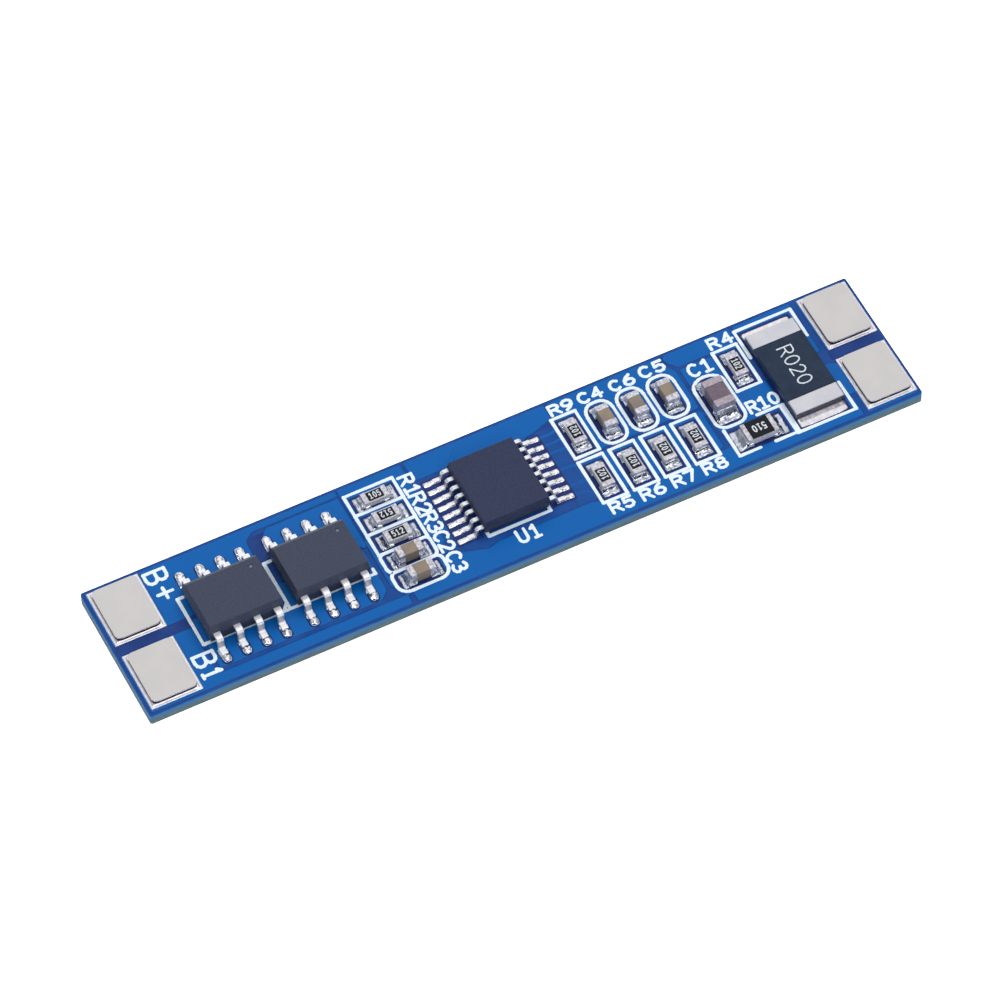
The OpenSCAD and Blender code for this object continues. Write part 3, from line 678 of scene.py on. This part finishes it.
# word, its first corner, height, step from letter to letter, turn, widening
WORDS = [
    ("B+", (-21.24, 4.27), 1.28, 1.26, -90, 0.98), ("B", (-21.2, -2.28), 1.26, 0, -90, 0.98),
    ("1", (-21.15, -3.52), 1.14, 0, -90, 0.55),
    ("R1", (-5.13, 3.74), 0.83, 0.8, -90, 1.1), ("R2", (-5.13, 2.24), 0.83, 0.82, -90, 1.1),
    ("R3", (-5.13, 0.7), 0.83, 0.78, -90, 1.1), ("C2", (-5.13, -0.8), 0.83, 0.8, -90, 1.1),
    ("C3", (-5.13, -2.44), 0.83, 0.84, -90, 1.1), ("U1", (-0.78, -3.7), 0.88, 0.8, 0, 0.92),
    ("R9", (4.93, 3.66), 0.68, 0.83, 0, 1.35), ("C4", (6.82, 3.64), 0.7, 0.86, 0, 1.3),
    ("C6", (8.87, 3.6), 0.7, 0.92, 0, 1.3), ("C5", (10.88, 3.66), 0.74, 0.94, 0, 1.3),
    ("R5", (4.93, -4.26), 0.72, 0.82, 0, 1.25), ("R6", (6.93, -4.26), 0.72, 0.84, 0, 1.25),
    ("R7", (8.98, -4.26), 0.72, 0.82, 0, 1.25), ("R8", (11.0, -4.26), 0.72, 0.84, 0, 1.25),
    ("C1", (13.5, 2.38), 0.86, 0.86, 0, 1.05), ("R4", (15.48, 3.68), 0.72, 0.86, 0, 1.25),
    ("R10", (15.38, -1.54), 0.8, 0.69, 0, 1.0),
]
words = bmesh.new()
draw(words, print_lines, LINE_PEN, MASK_Z, INK_Z)
for text, corner, size, advance, turn, widening in WORDS:
    pen = LINE_PEN if text[0] in "B1" else LETTER_PEN  # the terminal marks, B+ and B1, are bolder
    draw(words, letters(text, corner, size, advance, turn, widening), pen, MASK_Z, INK_Z + 0.002)
place_piece("printed_marks", words, ink)

# Values printed on the coats, each laid along its own chip.
code_ink = finish("numeral_ink", paint(200, 208, 216), paint(220, 226, 232), grain=0.1, roughness=0.6,
                  specular=0.3)
CODE_WIDENING, CODE_THICKNESS = 0.66, 0.008
codes = bmesh.new()
CODES = [("r1", "105", 0), ("r2", "512", 180), ("r3", "512", 0), ("r4", "102", -90), ("r10", "510", 180)]
CODES += [(part, "102", 90) for part in ("r5", "r6", "r7", "r8", "r9")]
for part, text, turn in CODES:
    _, high, middle = box_of(part + "_coat")
    size, advance, pen = (0.46, 0.31, 0.09) if part == "r10" else (0.38, 0.26, 0.075)
    spin = Matrix.Rotation(math.radians(turn), 3, "Z")
    length = 2 * advance + LETTER_WIDTH * size * CODE_WIDENING
    corner = middle + spin @ Vector((-length / 2, -size / 2, 0))
    numerals = letters(text, corner, size, advance, turn, CODE_WIDENING)
    draw(codes, numerals, pen, high.z, high.z + CODE_THICKNESS)
_, high, middle = box_of("shunt_coat")
numerals = letters("R020", (middle.x - 0.4, 1.47), 0.9, 0.78, -90)
draw(codes, numerals, 0.1, high.z, high.z + CODE_THICKNESS)
place_piece("value_numerals", codes, code_ink)

# ---------------------------------------------------------------- floor, light and camera
# A white table under soft lamps, seen through a long lens from the front left.
WHITE = (1, 1, 1, 1)
TABLE_HALF_WIDTH, TABLE_GAP = 1500, 0.02


def larger_of(tree, first, second):
    larger = tree.nodes.new("ShaderNodeMath")
    larger.operation = "MAXIMUM"
    tree.links.new(first, larger.inputs[0])
    tree.links.new(second, larger.inputs[1])
    return larger.outputs[0]


def seen_directly(tree):
    """1 for camera, mirror and glass rays, so that shiny metal shows the same white."""
    rays = tree.nodes.new("ShaderNodeLightPath")
    seen_or_mirrored = larger_of(tree, rays.outputs["Is Camera Ray"], rays.outputs["Is Glossy Ray"])
    return larger_of(tree, seen_or_mirrored, rays.outputs["Is Transmission Ray"])


table = bmesh.new()
bmesh.ops.create_grid(table, x_segments=1, y_segments=1, size=TABLE_HALF_WIDTH)
bmesh.ops.translate(table, vec=(0, 0, -TABLE_GAP), verts=table.verts)
bmesh.ops.scale(table, vec=(MM, MM, MM), verts=table.verts)
table_mesh = bpy.data.meshes.new("table_top")
table.to_mesh(table_mesh)
table.free()
table_top = bpy.data.objects.new("table_top", table_mesh)
bpy.context.scene.collection.objects.link(table_top)
white_table = bpy.data.materials.new("white_table")
white_table.use_nodes = True
tree = white_table.node_tree
shader = tree.nodes["Principled BSDF"]
shader.inputs["Base Color"].default_value = (0.86, 0.86, 0.86, 1)
shader.inputs["Roughness"].default_value = 0.9
shader.inputs["Specular IOR Level"].default_value = 0.0
shader.inputs["Emission Color"].default_value = WHITE
glow = tree.nodes.new("ShaderNodeMath")
glow.operation = "MULTIPLY"
glow.inputs[1].default_value = 0.8
tree.links.new(seen_directly(tree), glow.inputs[0])
tree.links.new(glow.outputs[0], shader.inputs["Emission Strength"])
table_mesh.materials.append(white_table)

# The room: white at the horizon and grey above. It has a dark side behind the camera, which gives the
# solder its dark patches, and three soft-edged bright discs.
world = bpy.data.worlds.new("studio")
bpy.context.scene.world = world
world.use_nodes = True
tree = world.node_tree
sky = tree.nodes["Background"]
direction = tree.nodes.new("ShaderNodeTexCoord")


def toward(centre, edge, core):
    """Rises from 0 to 1 as a direction comes near a centre, between two cosines."""
    near = tree.nodes.new("ShaderNodeVectorMath")
    near.operation = "DOT_PRODUCT"
    near.inputs[1].default_value = Vector(centre).normalized()
    tree.links.new(direction.outputs["Generated"], near.inputs[0])
    share = add_node(tree, "MapRange", From_Min=edge, From_Max=core)
    share.interpolation_type = "SMOOTHSTEP"
    tree.links.new(near.outputs["Value"], share.inputs["Value"])
    return share.outputs["Result"]


def mixed_with(first, second, share):
    """A colour or a colour's socket, changed into a second colour."""
    mixed = tree.nodes.new("ShaderNodeMix")
    mixed.data_type = "RGBA"
    if isinstance(first, tuple):
        mixed.inputs["A"].default_value = first
    else:
        tree.links.new(first, mixed.inputs["A"])
    mixed.inputs["B"].default_value = second
    tree.links.new(share, mixed.inputs["Factor"])
    return mixed.outputs["Result"]


# each patch: its colour, the direction of its middle, and the cosines at its edge and its core
PATCHES = [
    ((0.02, 0.02, 0.025, 1), (-0.35, -0.85, 0.35), 0.65, 0.85),  # the dark side
    ((1.9, 1.9, 1.9, 1), (-0.12, -0.22, 0.95), 0.90, 0.95),  # overhead
    ((2.4, 2.4, 2.4, 1), (0.24, -0.58, 0.78), 0.965, 0.983),  # small, high in front
    ((1.03, 1.03, 1.03, 1), (0.25, 0.53, 0.81), 0.80, 0.93),  # broad, high behind the object
]
room = (0.3, 0.31, 0.33, 1)
for colour, centre, edge, core in PATCHES:
    room = mixed_with(room, colour, toward(centre, edge, core))
split = tree.nodes.new("ShaderNodeSeparateXYZ")
tree.links.new(direction.outputs["Generated"], split.inputs[0])
horizon = add_node(tree, "MapRange", From_Min=0.25, From_Max=0.05)
horizon.interpolation_type = "SMOOTHSTEP"
tree.links.new(split.outputs["Z"], horizon.inputs["Value"])
rays = tree.nodes.new("ShaderNodeLightPath")
whiteness = larger_of(tree, horizon.outputs["Result"], rays.outputs["Is Camera Ray"])
tree.links.new(mixed_with(room, WHITE, whiteness), sky.inputs["Color"])
sky.inputs["Strength"].default_value = 1.0

LAMP_AWAY = 0.5  # in metres, as the lamps' sizes are


def lamp(name, toward_lamp, size, watts, mirrored=False):
    """A square soft lamp that faces the object from a direction."""
    light = bpy.data.lights.new(name, "AREA")
    light.size, light.energy = size, watts
    holder = bpy.data.objects.new(name, light)
    holder.location = Vector(toward_lamp).normalized() * LAMP_AWAY
    holder.rotation_euler = Vector(toward_lamp).to_track_quat("Z", "Y").to_euler()
    holder.visible_glossy = mirrored
    bpy.context.scene.collection.objects.link(holder)


lamp("key", (0.45, 0.3, 0.95), 0.16, 0.8)
lamp("fill", (-0.45, -0.8, 0.55), 0.25, 0.39)
lamp("glint", (-0.75, -0.2, 0.62), 0.06, 0.16, mirrored=True)

# A long lens 0.4 m away, so the strip's far end is only a little smaller than its near end.
CAMERA_AWAY = 0.3955  # in metres
PICTURES_PER_METRE = 17.186  # at the strip, so the picture takes in 58 mm of it
SENSOR_WIDTH = 36.0  # in millimetres
scene = bpy.context.scene
azimuth, elevation, tilt = math.radians(-25.4), math.radians(54.0), math.radians(-1.6)
level = math.cos(elevation)
back = Vector((math.sin(azimuth) * level, -math.cos(azimuth) * level, math.sin(elevation)))
right = Vector((math.cos(azimuth), math.sin(azimuth), 0))
up = back.cross(right)
right, up = right * math.cos(tilt) + up * math.sin(tilt), up * math.cos(tilt) - right * math.sin(tilt)
# aimed a third of a millimetre to the left of the middle of the strip's underside
aim = right * -0.33 * MM + up * 0.04 * MM + Vector((0, -0.02 * MM, 0))
lens = bpy.data.cameras.new("long_lens")
lens.sensor_width = SENSOR_WIDTH
lens.lens = PICTURES_PER_METRE * CAMERA_AWAY * SENSOR_WIDTH
lens.clip_start, lens.clip_end = 0.01, 20
camera = bpy.data.objects.new("camera", lens)
turned = Matrix((right, up, back)).transposed().to_4x4()
camera.matrix_world = Matrix.Translation(aim + back * CAMERA_AWAY) @ turned
scene.collection.objects.link(camera)
scene.camera = camera
scene.view_settings.view_transform = "Standard"
